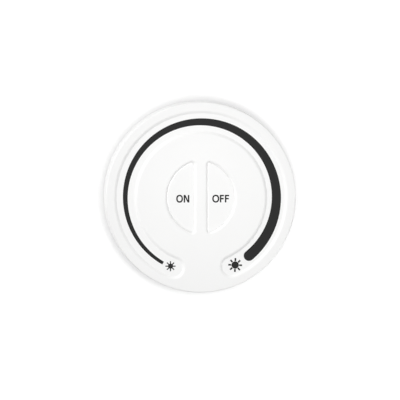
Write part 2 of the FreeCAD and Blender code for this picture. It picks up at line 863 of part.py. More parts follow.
def rear_cover():
    cover = cylinder(rear_radius, back_z, rear_top)
    cover = bevel_edges(cover, rear_edge_bevel, level_edge(back_z, rear_radius))
    root = rear_top - rib_root
    pocket_top = rear_top + keyhole_pocket_height
    ring_outer = rib_inner - slide_gap - rear_gap
    added = [tube(ring_outer, ring_outer - rear_ring_wall, root, rear_top + rear_ring_height)]
    added.append(cylinder(bay_radius, root, bay_top))
    for angle in boss_angles:
        added.append(cylinder(boss_radius, root, board_base, polar(boss_circle, angle)))
    for number in range(rear_rib_count):
        angle = 360.0 / rear_rib_count * (number + 0.5)
        length = ring_outer - bay_radius
        middle = polar(bay_radius + length / 2, angle)
        added.append(block(length, rear_rib_width, root, rear_top + rear_rib_height, middle, angle))
    for side in (-1, 1):
        added.append(keyhole_pocket(side, keyhole_pocket_wall, root, pocket_top + keyhole_pocket_wall))
    cover = cover.multiFuse(added)
    cuts = [keyhole(side, 0, back_z - 1, rear_top + 1) for side in (-1, 1)]
    cuts += [keyhole_pocket(side, 0, rear_top, pocket_top) for side in (-1, 1)]
    cuts += battery_bay_cuts()
    for angle in boss_angles:
        place = polar(boss_circle, angle)
        cuts.append(cylinder(screw_radius + hole_clearance, back_z - 1, board_base + 1, place))
        cuts.append(cylinder(screw_head_radius + hole_clearance, back_z - 1, screw_seat, place))
    cuts += [cylinder(foot_radius + slide_gap, back_z - 1, foot_thickness, polar(foot_circle, angle))
             for angle in boss_angles]
    return cut_all(cover, cuts)


def cut_all(solid, cuts):
    for cut in cuts:
        solid = solid.cut(cut)
    return solid.removeSplitter()


def battery_bay_cuts():
    """Round opening, bayonet notches and channel, and the seat that locates the cell."""
    opening = neck_radius + door_gap
    lug_room = lug_radius + door_gap
    cuts = [
        cylinder(opening, back_z - 1, rear_top + slide_gap),
        cylinder(flange_radius + door_gap, back_z - 1, back_z + door_flange + slide_gap),
        cylinder(lug_room, rear_top, door_top + hole_clearance),
        cylinder(cell_radius + cell_side_gap, rear_top, bay_top + 1),
    ]
    for number in range(door_lug_count):
        middle = door_lug_turn - door_turn + 360.0 / door_lug_count * number
        cuts.append(sector(lug_room, opening - 1, back_z - 1, rear_top + slide_gap, middle, door_notch_width))
    window = block(contact_foot * 2, contact_width + 2 * hole_clearance, door_top + hole_clearance,
                   bay_top + 1, polar(cell_radius + contact_foot / 2, contact_angle), contact_angle)
    cuts.append(window)
    return cuts


def battery_door():
    door = cylinder(neck_radius, back_z, door_top)
    door = door.fuse(cylinder(flange_radius, back_z, back_z + door_flange))
    for number in range(door_lug_count):
        middle = door_lug_turn + 360.0 / door_lug_count * number
        door = door.fuse(sector(lug_radius, neck_radius - rib_root, rear_top + slide_gap, door_top, middle,
                                door_lug_width))
    door = bevel_edges(door, door_edge_bevel, level_edge(back_z, flange_radius))
    door = door.cut(cylinder(cell_radius + cell_side_gap, back_z + door_floor, door_top + 1))
    slot = block(coin_slot_length - coin_slot_width, coin_slot_width, back_z - 1, back_z + coin_slot_depth)
    for end in (-1, 1):
        place = Vector(end * (coin_slot_length - coin_slot_width) / 2, 0, 0)
        slot = slot.fuse(cylinder(coin_slot_width / 2, back_z - 1, back_z + coin_slot_depth, place))
    return door.cut(slot).removeSplitter()


def case_screws():
    screws = []
    for angle in boss_angles:
        place = polar(boss_circle, angle)
        head_low = screw_seat - screw_head_height
        head = cylinder(screw_head_radius, head_low, screw_seat, place)
        head = bevel_edges(head, screw_head_bevel, level_edge(head_low, screw_head_radius, place))
        shank = cylinder(screw_radius, screw_seat - rib_root, boss_end + screw_bite, place)
        cross = [block(drive_length, drive_width, head_low - 1, head_low + drive_depth, place, turn)
                 for turn in (0, 90)]
        screws.append(head.fuse(shank).cut(cross[0]).cut(cross[1]))
    return Part.makeCompound(screws)


def feet():
    discs = []
    for angle in boss_angles:
        place = polar(foot_circle, angle)
        disc = cylinder(foot_radius, 0, foot_thickness, place)
        discs.append(bevel_edges(disc, foot_edge_bevel, level_edge(0, foot_radius, place)))
    return Part.makeCompound(discs)


def build():
    parts = {
        "front_cover": front_cover(),
        "key_guide_frame": key_guide_frame(),
        "touch_film": touch_film(),
        "touch_electrodes": touch_electrodes(),
        "film_connector": film_connector(),
        "main_board": main_board(),
        "switch_terminals": switch_terminals(),
        "radio_chip": radio_chip(),
        "shield_can": shield_can(),
        "crystal": crystal(),
        "chip_antenna": chip_antenna(),
        "touch_chip": touch_chip(),
        "board_capacitors": small_parts(capacitor_count, capacitor_angle),
        "board_resistors": small_parts(resistor_count, resistor_angle),
        "contact_positive": contact_positive(),
        "contact_negative": contact_negative(),
        "cell_can": cell_can(),
        "cell_gasket": cell_gasket(),
        "cell_cap": cell_cap(),
        "rear_cover": rear_cover(),
        "battery_door": battery_door(),
        "case_screws": case_screws(),
        "feet": feet(),
    }
    for name, side in (("on", -1), ("off", 1)):
        parts[name + "_keycap"] = keycap(side)
        parts[name + "_switch_base"] = switch_base(side)
        parts[name + "_switch_cover"] = switch_cover(side)
        parts[name + "_switch_dome"] = switch_dome(side)
        parts[name + "_switch_plunger"] = switch_plunger(side)
    return parts


os.makedirs("parts", exist_ok=True)
for node, shape in build().items():
    shape.exportStep("parts/" + node + ".step")
    box = shape.BoundBox
    print(node, len(shape.Solids), "solids", round(shape.Volume, 3), "mm3", "valid", shape.isValid(),
          [round(value, 2) for value in (box.XMin, box.XMax, box.YMin, box.YMax, box.ZMin, box.ZMax)])
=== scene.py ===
# %% [markdown]
# # A round wireless dimmer switch
# The control is a white moulded disc 70 mm across. Its face has a C-shaped finger track and two keys, ON and
# OFF. Every hard piece already exists as a solid, so this lesson gives those pieces their finish, prints the
# ink on them and lights them.

import json
import math

import bmesh
import bpy
from mathutils import Matrix, Vector
from mathutils.bvhtree import BVHTree


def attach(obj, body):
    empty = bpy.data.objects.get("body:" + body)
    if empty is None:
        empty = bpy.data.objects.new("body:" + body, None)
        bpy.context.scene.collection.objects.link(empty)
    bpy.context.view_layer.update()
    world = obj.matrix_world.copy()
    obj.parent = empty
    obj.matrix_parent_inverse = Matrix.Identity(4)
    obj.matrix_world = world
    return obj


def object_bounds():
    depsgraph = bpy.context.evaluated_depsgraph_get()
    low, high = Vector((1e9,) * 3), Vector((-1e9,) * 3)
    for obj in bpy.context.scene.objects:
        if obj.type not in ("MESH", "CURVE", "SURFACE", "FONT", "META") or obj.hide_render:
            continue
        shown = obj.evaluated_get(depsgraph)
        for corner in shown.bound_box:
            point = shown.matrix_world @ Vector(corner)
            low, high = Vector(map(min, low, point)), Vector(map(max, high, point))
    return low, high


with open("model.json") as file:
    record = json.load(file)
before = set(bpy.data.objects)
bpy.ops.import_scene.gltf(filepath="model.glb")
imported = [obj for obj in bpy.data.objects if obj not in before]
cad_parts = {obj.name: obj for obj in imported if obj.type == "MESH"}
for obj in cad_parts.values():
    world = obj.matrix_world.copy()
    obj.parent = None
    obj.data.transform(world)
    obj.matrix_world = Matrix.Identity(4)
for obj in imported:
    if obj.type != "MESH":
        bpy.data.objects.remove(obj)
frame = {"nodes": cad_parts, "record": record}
solid_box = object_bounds()
mm = 0.001

# %% [markdown]
# The view and the light come first, because every later choice is judged through them. The picture to match
# was taken from straight above the face with a long lens, so its circles stay circles. The camera here does
# the same from three metres. A camera without perspective would do nearly as well, but from the side it
# looks odd. A very slight lean to the upper left shows a little of the skirt there, as the picture does.

# %% Camera straight above the face
photo_size = 400                                # side of the square photograph in pixels
disc_diameter_px = 191.7                        # the disc's outline
face_middle_px = (201.05, 197.6)                # middle of the track and of the two keys
case_diameter = solid_box[1].x - solid_box[0].x
face_height = solid_box[1].z
metres_per_px = case_diameter / disc_diameter_px
view_from = Vector((-0.062, 0.045, 1.0)).normalized()
camera_distance = 3.0
sensor_width = 36.0                             # in millimetres, as Blender measures sensors and lenses
up_the_wall = Vector((0, 1, 0))
straight_up = Vector((0, 0, 1))


def look_along(eye, target, up):
    """A placement that looks from eye to target with up pointing up in the picture."""
    back = (eye - target).normalized()
    across = up.cross(back).normalized()
    upward = back.cross(across)
    turn = Matrix((across, upward, back)).transposed()
    return Matrix.Translation(eye) @ turn.to_4x4()


camera_data = bpy.data.cameras.new("camera_above")
camera_data.sensor_width = sensor_width
camera_data.lens = sensor_width * camera_distance / (photo_size * metres_per_px)
camera = bpy.data.objects.new("camera_above", camera_data)
bpy.context.scene.collection.objects.link(camera)
off_middle = Vector((photo_size / 2 - face_middle_px[0], face_middle_px[1] - photo_size / 2, 0))
aim = off_middle * metres_per_px + Vector((0, 0, face_height))
camera.matrix_world = look_along(aim + view_from * camera_distance, aim, up_the_wall)
bpy.context.scene.camera = camera
bpy.context.scene.view_settings.view_transform = "Standard"
print(f"camera: {camera_data.lens:.0f} mm lens, {metres_per_px / mm:.4f} mm to a pixel")

# %% [markdown]
# Materials are built from nodes. Writing each Math node by hand hides the idea, so one small class wraps a
# socket: an expression such as `1 - grain * 0.2` then adds the Math nodes by itself. Every other node comes
# from one method that takes the node's type, its settings, and the values or links of its sockets.

# %% A socket that can be used in expressions
class Signal:
    """An output socket of a node that takes part in sums and products."""

    def __init__(self, nodes, socket):
        self.nodes = nodes
        self.socket = socket

    def math(self, operation, left, right):
        made = self.nodes.node("ShaderNodeMath", {"operation": operation}, {0: left, 1: right})
        return made.out("Value")

    def __add__(self, other):
        return self.math("ADD", self, other)

    def __radd__(self, other):
        return self.math("ADD", other, self)

    def __sub__(self, other):
        return self.math("SUBTRACT", self, other)

    def __rsub__(self, other):
        return self.math("SUBTRACT", other, self)

    def __mul__(self, other):
        return self.math("MULTIPLY", self, other)

    def __rmul__(self, other):
        return self.math("MULTIPLY", other, self)

    def above(self, level):
        """One where the signal is above the level, and zero elsewhere."""
        return self.math("GREATER_THAN", self, level)

    def at_most(self, level):
        return self.math("MINIMUM", self, level)


class Made:
    """A node, with its outputs as signals."""

    def __init__(self, nodes, node):
        self.nodes = nodes
        self.node = node

    def out(self, name):
        """The output of this name or number."""
        return Signal(self.nodes, self.node.outputs[name])


class Nodes:
    """The nodes of a material or of the world, which are added step by step."""

    def __init__(self, owner):
        self.owner = owner
        owner.use_nodes = True
        self.tree = owner.node_tree
        self.tree.nodes.clear()

    def node(self, kind, settings=None, sockets=None):
        """Adds a node: its settings come first, and then the value or the link of each socket."""
        made = self.tree.nodes.new(kind)
        for setting, value in (settings or {}).items():
            setattr(made, setting, value)
        for socket, value in (sockets or {}).items():
            entry = made.inputs[socket]
            if isinstance(value, Signal):
                self.tree.links.new(value.socket, entry)
            else:
                entry.default_value = value
        return Made(self, made)


print("expressions ready")

# %% [markdown]
# A finish is a material of such nodes. Most finishes need the same few things: patches of noise, a blend of
# two colours, a relief and one shader at the end. Noise reads the place on the piece in metres, so a grain
# keeps its true size on every piece and moves along with it.

# %% What all finishes share
mix_first, mix_second, mix_result = 6, 7, 2     # colour sockets of a Mix node, whose names aren't unique
mask_middle = 0.5                               # noise lies about evenly on both sides of this


class Finish(Nodes):
    """The nodes of one material."""

    def __init__(self, name):
        super().__init__(bpy.data.materials.new(name))

    def place(self):
        """The point on the piece, in metres, which moves with the piece."""
        return self.node("ShaderNodeTexCoord").out("Object")

    def noise(self, size, detail=2.0, stretch=(1.0, 1.0, 1.0)):
        """Soft random patches of about this size in metres, drawn out along an axis by stretch.

        Detail is the number of finer layers that lie on the first one.
        """
        scaled = self.node("ShaderNodeVectorMath", {"operation": "MULTIPLY"},
                           {0: self.place(), 1: [1 / (size * factor) for factor in stretch]})
        patches = self.node("ShaderNodeTexNoise", {},
                            {"Vector": scaled.out("Vector"), "Scale": 1.0, "Detail": detail})
        return patches.out("Fac")

    def blend(self, share, first, second):
        """Goes from the first colour to the second as share goes from 0 to 1."""
        mixed = self.node("ShaderNodeMix", {"data_type": "RGBA"},
                          {0: share, mix_first: first, mix_second: second})
        return mixed.out(mix_result)

    def bump(self, height, depth):
        relief = self.node("ShaderNodeBump", {}, {"Height": height, "Distance": depth, "Strength": 1.0})
        return relief.out("Normal")

    def surface(self, **sockets):
        """Ends the material in one shader. Words in a name are joined by an underscore."""
        named = {name.replace("_", " "): value for name, value in sockets.items()}
        shader = self.node("ShaderNodeBsdfPrincipled", {}, named)
        return self.finish_with(shader.out("BSDF"))

    def finish_with(self, shader):
        self.node("ShaderNodeOutputMaterial", {}, {"Surface": shader})
        return self.owner


def swing(mean, mask, width):
    """A value that swings about its mean, over this width in all, as the mask goes from 0 to 1."""
    return mean + (mask - mask_middle) * width


def colour(red, green, blue):
    return (red, green, blue, 1.0)


def grey(level):
    return colour(level, level, level)


print("material helpers ready")

# %% [markdown]
# The control lies on a white sweep under soft light from all round, so its shadow is only a narrow grey
# ring. A floor lit like the object would render slightly grey, and stronger lamps would bleach the object.
# So the floor has an extra glow that exists for the camera and for mirrors alone: the open floor turns white
# while the object gets no more light than before. The glow fades close to the control, which paints shade
# into the narrow ring on top of the real shadow, and grows far from it, where the lamps reach the floor less.

# %% White floor, with painted shade round the control
floor_half_side = 4.0                           # in metres, wide enough for low views
floor_white = 0.80
floor_glow = 0.285                              # brings the open floor up to white
far_glow = 12.0                                 # gain of the glow with the square of the distance in metres
far_glow_limit = 0.15
# Within this reach of the control the glow fades: painted shade that deepens the real shadow ring.
painted_shade_reach = 3.5 * mm                        # width of the ring in which the floor loses its glow
painted_shade_rays = 16                               # rays that feel for the control from a point of the floor


def seen_directly(finish):
    """One for rays from the camera or from a mirror or glass, and zero for all others."""
    path = finish.node("ShaderNodeLightPath")
    return path.out("Is Camera Ray") + path.out("Is Glossy Ray") + path.out("Is Transmission Ray")


def far_share(finish):
    """Makes up for the lamps, whose light falls off away from the control."""
    length = finish.node("ShaderNodeVectorMath", {"operation": "LENGTH"}, {0: finish.place()})
    away = length.out("Value")
    return (away * away * far_glow).at_most(far_glow_limit)


def floor_finish():
    finish = Finish("white_sweep")
    paper = finish.node("ShaderNodeBsdfDiffuse", {}, {"Color": grey(floor_white)})
    feelers = finish.node("ShaderNodeAmbientOcclusion", {"samples": painted_shade_rays},
                          {"Distance": painted_shade_reach})
    openness = feelers.out("AO")
    # Painted shade: near the control the glow drops with the square of the floor's openness.
    glow_with_painted_shade = floor_glow * openness * openness + far_share(finish)
    glow = finish.node("ShaderNodeEmission", {}, {"Color": glow_with_painted_shade, "Strength": seen_directly(finish)})
    lit = finish.node("ShaderNodeAddShader", {}, {0: paper.out("BSDF"), 1: glow.out("Emission")})
    return finish.finish_with(lit.out("Shader"))


def flat_sheet(name, half_side, height):
    low, high = -half_side, half_side
    corners = [(low, low), (high, low), (high, high), (low, high)]
    mesh = bpy.data.meshes.new(name)
    mesh.from_pydata([(x, y, height) for x, y in corners], [], [range(4)])
    return mesh


floor = bpy.data.objects.new("floor", flat_sheet("floor", floor_half_side, solid_box[0].z))
bpy.context.scene.collection.objects.link(floor)
floor.data.materials.append(floor_finish())
print("floor ready")

# %% [markdown]
# The room is a world of one pale colour. A picture of a real studio could light the control too, but a plain
# colour has no edges that would show in the plastic. The camera sees it white, where a low view looks over
# the end of the floor. The control gets less than half of that from it, and the lamps give the rest.

# %% The pale room
room_light = 0.46                               # brightness for all but the camera


def light_room():
    world = bpy.data.worlds.new("pale_room")
    bpy.context.scene.world = world
    room = Nodes(world)
    seen = room.node("ShaderNodeLightPath").out("Is Camera Ray")
    strength = room.node("ShaderNodeMix", {}, {"Factor": seen, "A": room_light, "B": 1.0}).out("Result")
    walls = room.node("ShaderNodeBackground", {}, {"Color": grey(1.0), "Strength": strength})
    room.node("ShaderNodeOutputWorld", {}, {"Surface": walls.out("Background")})


light_room()
print("room ready")

# %% [markdown]
# Five lamps join the room. The overhead one hangs a little to the lower right and lays the narrow shadow
# that is deepest at the upper left of the skirt. The near one hangs close above the face and makes it fade
# towards its lower edge. The side one stands far off on the upper left, like a window: it turns the walls of
# the recesses dark on one side and bright on the other. The last two lie low at the lower right. One skims
# the face and lifts the recess walls that look that way, and the other lies below the face and lifts the far
# side of the rim. A lamp's power in watts says little about the brightness it gives, so each lamp has a
# share of what a white room gives a level face, or an upright wall, and the watts follow from it.

# %% Soft lights
def lamp_watts(share, reach, slant):
    """Power of a panel that lights a face at this distance, slant being the cosine of the light's tilt."""
    return share * math.pi ** 2 * reach ** 2 / slant


def panel_light(name, place, width, height, share, shadow, spread=180.0, aim_height=face_height, lit="face"):
    """An oval panel that points at the control's axis, at the aim height, its width level with the table.

    Its share counts on the level face, or on an upright wall for a panel below the face.
    """
    data = bpy.data.lights.new(name, "AREA")
    data.shape = "ELLIPSE"
    data.size = width
    data.size_y = height
    data.use_shadow = shadow
    data.spread = math.radians(spread)
    lamp = bpy.data.objects.new(name, data)
    offset = Vector(place) - Vector((0, 0, face_height))
    slant = offset.normalized().z if lit == "face" else 1.0
    data.energy = lamp_watts(share, offset.length, slant)
    lamp.matrix_world = look_along(Vector(place), Vector((0, 0, aim_height)), straight_up)
    lamp.visible_camera = False
    bpy.context.scene.collection.objects.link(lamp)
    print(name, "power", round(data.energy, 4), "W")


panel_light("overhead_light", place=(0.036, -0.031, 0.26), width=0.05, height=0.05, share=0.155, shadow=True)
panel_light("near_light", place=(0.003, 0.018, 0.075), width=0.06, height=0.06, share=0.135, shadow=False)
panel_light("side_light", place=(-0.86, 0.49, 0.72), width=0.30, height=0.30, share=0.30, shadow=False)
panel_light("fill_light", place=(0.090, -0.035, 0.019), width=0.24, height=0.012, share=0.006,
            shadow=False, spread=60.0, aim_height=0.035)
panel_light("rim_light", place=(0.078, -0.060, 0.009), width=0.26, height=0.008, share=0.065,
            shadow=True, spread=90.0, aim_height=0.009, lit="wall")

# %% [markdown]
# White ABS mouldings have a faint spark-eroded texture: grains of one to three tenths of a millimetre that
# soften every highlight. A picture of such a skin could be wrapped round each piece, but noise needs no
# unwrapping and shows no seam. The colour is a plain warm-neutral white with very weak clouds, because resin
# never mixes perfectly. The grey, black and nylon pieces inside come from the same builder.

# %% Moulded plastics
cloud_size = 9 * mm
grain_gloss = 0.12                              # how far the grain moves the roughness


def moulded_plastic(name, base, cloud, roughness, grain_size, grain_depth):
    finish = Finish(name)
    clouds = finish.noise(cloud_size, detail=3.0)
    grain = finish.noise(grain_size)
    tint = finish.blend(clouds, base, cloud)
    gloss = swing(roughness, grain, grain_gloss)
    relief = finish.bump(grain, grain_depth)
    return finish.surface(Base_Color=tint, Roughness=gloss, Normal=relief)


white = colour(0.905, 0.905, 0.90)
white_cloud = colour(0.925, 0.925, 0.92)
key_white = colour(0.895, 0.895, 0.89)
key_cloud = colour(0.91, 0.91, 0.905)
back_white = colour(0.86, 0.86, 0.85)
back_cloud = colour(0.88, 0.88, 0.87)
nylon = colour(0.62, 0.66, 0.55)
nylon_cloud = colour(0.68, 0.7, 0.6)

finishes = {
    "case_plastic": moulded_plastic("white_face_plastic", white, white_cloud, roughness=0.48,
                                    grain_size=0.16 * mm, grain_depth=0.004 * mm),
    "key_plastic": moulded_plastic("white_key_plastic", key_white, key_cloud, roughness=0.46,
                                   grain_size=0.14 * mm, grain_depth=0.003 * mm),
    "rear_plastic": moulded_plastic("white_back_plastic", back_white, back_cloud, roughness=0.58,
                                    grain_size=0.30 * mm, grain_depth=0.02 * mm),
    "frame_plastic": moulded_plastic("grey_frame_plastic", grey(0.42), grey(0.46), roughness=0.5,
                                     grain_size=0.25 * mm, grain_depth=0.008 * mm),
    "connector_plastic": moulded_plastic("black_socket_plastic", grey(0.03), grey(0.05), roughness=0.42,
                                         grain_size=0.1 * mm, grain_depth=0.003 * mm),
    "plunger_plastic": moulded_plastic("dark_plunger_plastic", grey(0.04), grey(0.06), roughness=0.5,
                                       grain_size=0.1 * mm, grain_depth=0.003 * mm),
    "gasket_nylon": moulded_plastic("seal_nylon", nylon, nylon_cloud, roughness=0.45,
                                    grain_size=0.2 * mm, grain_depth=0.004 * mm),
}
print("plastics:", sorted(finishes))

# %% [markdown]
# Metals are told apart by their drawing marks: rolled sheet has long fine lines, a turned screw head has
# short ones, and solder is smooth with a slightly lumpy skin. Cut into the mesh, such lines would need far
# too many faces, so they are noise in the shading. One builder makes all six metals, and what it mainly
# takes is how far the marks are drawn out along each axis.

# %% Metals
stain_size = 4 * mm
mark_gloss = 0.16                               # how far the marks move the roughness
stain_gloss = 0.1


def sheet_metal(name, base, dull, roughness, mark_size, drawn_out, depth):
    finish = Finish(name)
    marks = finish.noise(mark_size, stretch=drawn_out)
    stain = finish.noise(stain_size, detail=3.0)
    tint = finish.blend(stain, base, dull)
    gloss = swing(swing(roughness, marks, mark_gloss), stain, stain_gloss)
    relief = finish.bump(marks, depth)
    return finish.surface(Base_Color=tint, Metallic=1.0, Roughness=gloss, Normal=relief)


copper = colour(0.80, 0.40, 0.22)
dull_copper = colour(0.62, 0.29, 0.15)
zinc = colour(0.60, 0.61, 0.63)
dull_zinc = colour(0.48, 0.49, 0.52)

finishes.update({
    "copper": sheet_metal("copper_pads", copper, dull_copper, roughness=0.35,
                          mark_size=0.3 * mm, drawn_out=(1, 4, 1), depth=0.002 * mm),
    "tin": sheet_metal("solder_tin", grey(0.62), grey(0.50), roughness=0.32,
                       mark_size=0.25 * mm, drawn_out=(1, 1, 1), depth=0.01 * mm),
    "shield_steel": sheet_metal("tinned_sheet", grey(0.66), grey(0.58), roughness=0.28,
                                mark_size=0.12 * mm, drawn_out=(10, 1, 1), depth=0.002 * mm),
    "contact_steel": sheet_metal("spring_steel", grey(0.60), grey(0.52), roughness=0.3,
                                 mark_size=0.1 * mm, drawn_out=(1, 12, 1), depth=0.002 * mm),
    "cell_steel": sheet_metal("cell_steel", grey(0.64), grey(0.55), roughness=0.3,
                              mark_size=0.2 * mm, drawn_out=(8, 1, 1), depth=0.002 * mm),
    "screw_steel": sheet_metal("zinc_screw", zinc, dull_zinc, roughness=0.34,
                               mark_size=0.12 * mm, drawn_out=(1, 3, 1), depth=0.004 * mm),
})
print("finishes so far:", len(finishes))

# %% [markdown]
# The parts inside are seen only when the case is open, yet each has its own look. The board is green, and
# its copper lines stand up a little under the lacquer. A real layout could be drawn line by line, but nobody
# follows it at this size, so a wave pattern draws the lines and coarse noise breaks them off.

# %% Green board
mask_green = colour(0.012, 0.12, 0.05)
line_green = colour(0.03, 0.22, 0.09)
line_scale = 420.0                              # lines about a millimetre apart
line_level = 0.82                               # a line is where the wave stands above this
patch_size = 6 * mm
patch_level = 0.47                              # lines show where the patches stand above this
line_relief = 0.02 * mm
lacquer_roughness = 0.28
lacquer_grain = 1 * mm
lacquer_gloss = 0.1


def solder_mask():
    finish = Finish("green_solder_mask")
    waves = finish.node("ShaderNodeTexWave", {"wave_type": "BANDS", "bands_direction": "DIAGONAL"},
                        {"Vector": finish.place(), "Scale": line_scale, "Distortion": 0.0})
    patches = finish.noise(patch_size, detail=0.0)
    lines = waves.out("Fac").above(line_level) * patches.above(patch_level)
    tint = finish.blend(lines, mask_green, line_green)
    relief = finish.bump(lines, line_relief)
    gloss = lacquer_roughness + finish.noise(lacquer_grain) * lacquer_gloss
    return finish.surface(Base_Color=tint, Roughness=gloss, Normal=relief)


finishes["board"] = solder_mask()
print("board finish ready")

# %% [markdown]
# The touch film is amber polyimide, glossy and slightly rippled over its copper pads. It could be made see
# through, but little light gets in between cover and board, so an opaque amber looks the same and is simpler.

# %% Amber film
amber = colour(0.42, 0.17, 0.02)
pale_amber = colour(0.52, 0.24, 0.04)
ripple_size = 0.4 * mm
ripple_depth = 0.002 * mm
film_roughness = 0.25
film_gloss = 0.1


def amber_film():
    finish = Finish("amber_film")
    ripple = finish.noise(ripple_size)
    tint = finish.blend(ripple, amber, pale_amber)
    gloss = film_roughness + ripple * film_gloss
    return finish.surface(Base_Color=tint, Roughness=gloss, Normal=finish.bump(ripple, ripple_depth))


finishes["film"] = amber_film()
print("film finish ready")

# %% [markdown]
# Chips are black epoxy with a matt top, the antenna and the capacitors are pale ceramic, and the rubber feet
# are dark grey and slightly dusty. Specks are what these three share: fillers in the first two and dust on
# the rubber. One noise gives all of it: where it rises above a level it shows as specks, and it makes the
# skin uneven as well.

# %% Chips, ceramic and rubber
speck_gloss = 0.2


def speckled(name, base, speck, roughness, size, level, depth):
    finish = Finish(name)
    grain = finish.noise(size, detail=3.0)
    tint = finish.blend(grain.above(level), base, speck)
    relief = finish.bump(grain, depth)
    return finish.surface(Base_Color=tint, Roughness=swing(roughness, grain, speck_gloss), Normal=relief)


ceramic = colour(0.50, 0.42, 0.30)
ceramic_speck = colour(0.36, 0.29, 0.2)

finishes.update({
    "chip_epoxy": speckled("chip_epoxy", grey(0.018), grey(0.05), roughness=0.5,
                           size=0.12 * mm, level=0.62, depth=0.004 * mm),
    "component_ceramic": speckled("pale_ceramic", ceramic, ceramic_speck, roughness=0.5,
                                  size=0.1 * mm, level=0.6, depth=0.004 * mm),
    "foot_rubber": speckled("grey_rubber", grey(0.10), grey(0.17), roughness=0.78,
                            size=0.2 * mm, level=0.62, depth=0.02 * mm),
})
print("finishes in all:", len(finishes))

# %% [markdown]
# Now every solid gets its finish. The pieces could be dressed one by one, but the record already says which
# material slot each piece takes, so a loop over it leaves none out. Only the material changes, and the solid
# keeps its shape and its place.

# %% Dress the solids
def dress_solids():
    """Gives every solid the finish of its slot in the record."""
    for part in frame["record"]["subparts"]:
        solid = frame["nodes"][part["node"]]
        solid.data.materials.clear()
        solid.data.materials.append(finishes[part["material_slot"]])
    return len(frame["record"]["subparts"])


print("solids dressed:", dress_solids())

# %% [markdown]
# Now the ink. It is screen printed: one dark layer, a few hundredths of a millimetre thick, on the floor of
# the track and on the keys. Each mark is drawn as its own outline in the plane, with only the points that
# its shape needs. The marks could be painted in a material instead, but real outlines keep their edges crisp
# at any distance.

# %% Outlines in the plane
ink_thickness = 0.025 * mm
curve_step = 0.12 * mm                          # longest straight piece along a small curve of ink
fewest_steps = 6                                # for arcs so small that longer pieces would show
full_turn = 360                                 # in degrees
oval_points = 48
oval_squareness = 0.88                          # a plain oval has 1, and less makes it squarer


def turn(point, degrees):
    angle = math.radians(degrees)
    x, y = point
    return (x * math.cos(angle) - y * math.sin(angle), x * math.sin(angle) + y * math.cos(angle))


def polar(radius, degrees):
    return turn((radius, 0.0), degrees)


def arc(centre, radius, start, end):
    """Points along an arc of a circle, from the start angle to the end angle."""
    count = max(fewest_steps, math.ceil(abs(math.radians(end - start)) * radius / curve_step))
    angles = [start + (end - start) * number / count for number in range(count + 1)]
    points = [polar(radius, angle) for angle in angles]
    return [(centre[0] + x, centre[1] + y) for x, y in points]


def squared(value):
    return math.copysign(abs(value) ** oval_squareness, value)


def oval(centre, half_width, half_height):
    """A slightly squared oval, as the letter O is drawn."""
    points = []
    for number in range(oval_points):
        angle = 2 * math.pi * number / oval_points
        points.append((centre[0] + half_width * squared(math.cos(angle)),
                       centre[1] + half_height * squared(math.sin(angle))))
    return points


print("outline helpers ready")

# %% [markdown]
# The scale is one tapering stroke. It starts thin at the lower left, grows at a steady rate as it runs
# clockwise over the top, and ends in a round thick cap at the lower right. A curve with a changing width
# could draw it too, but two arcs with drifting radii give its sides directly, with few points.

# %% The growing arc
scale_middle_radius = 27.65 * mm
scale_thin_end = 240.0                          # polar angle in degrees, anticlockwise from the right
scale_thick_end = -50.5
scale_thin_width = 1.18 * mm
scale_thick_width = 3.82 * mm
scale_step = 4 * curve_step                     # the sides curve so gently that longer pieces don't show


def scale_width(angle):
    share = (scale_thin_end - angle) / (scale_thin_end - scale_thick_end)
    return scale_thin_width + (scale_thick_width - scale_thin_width) * share


def scale_side(sign, start, end):
    """One side of the stroke: +1 is its outer side and -1 its inner side."""
    count = math.ceil(math.radians(abs(end - start)) * scale_middle_radius / scale_step)
    angles = [start + (end - start) * number / count for number in range(count + 1)]
    return [polar(scale_middle_radius + sign * scale_width(angle) / 2, angle) for angle in angles]


def scale_outline():
    outer = scale_side(1, scale_thin_end, scale_thick_end)
    cap_centre = polar(scale_middle_radius, scale_thick_end)
    cap = arc(cap_centre, scale_thick_width / 2, scale_thick_end, scale_thick_end - full_turn / 2)
    inner = scale_side(-1, scale_thick_end, scale_thin_end)
    return outer + cap[1:-1] + inner


scale_mark = [[scale_outline()]]                # one area, which is a list with one outline
print("scale outline points:", len(scale_mark[0][0]))

# %% [markdown]
# A small sun marks the dim end and a large sun the bright end. Each is a disc with eight rays. On the large
# sun the rays stand clear of the disc, and on the small one they are too fine for that and grow out of it.
# A ray is four corners drawn once and turned into eight places, which is shorter than drawing the star.

# %% The two suns
ray_count = 8


def ray_outline(centre, inner, outer, width, angle):
    corners = [(inner, -width / 2), (outer, -width / 2), (outer, width / 2), (inner, width / 2)]
    turned = [turn(corner, angle) for corner in corners]
    return [(centre[0] + x, centre[1] + y) for x, y in turned]


def sun_mark(centre, disc_radius, ray_inner, ray_outer, ray_width, lean):
    """Nine areas, the disc first, each a list with one outline."""
    areas = [[arc(centre, disc_radius, 0, full_turn)[:-1]]]
    for number in range(ray_count):
        angle = lean + full_turn / ray_count * number
        areas.append([ray_outline(centre, ray_inner, ray_outer, ray_width, angle)])
    return areas


dim_sun_centre = polar(27.44 * mm, 246.1)
bright_sun_centre = polar(27.74 * mm, -63.1)
dim_sun_mark = sun_mark(dim_sun_centre, disc_radius=0.92 * mm, ray_inner=0.80 * mm,
                        ray_outer=1.84 * mm, ray_width=0.40 * mm, lean=0.0)
bright_sun_mark = sun_mark(bright_sun_centre, disc_radius=1.35 * mm, ray_inner=1.47 * mm,
                           ray_outer=2.53 * mm, ray_width=0.60 * mm, lean=-2.5)
print("areas of the two suns:", len(dim_sun_mark) + len(bright_sun_mark))

# %% [markdown]
# The words are plain humanist capitals, 2.76 mm tall, with a stroke of half a millimetre. A font file would
# be another file to read, and three letters need few points: O is an oval ring, N and F are polygons.

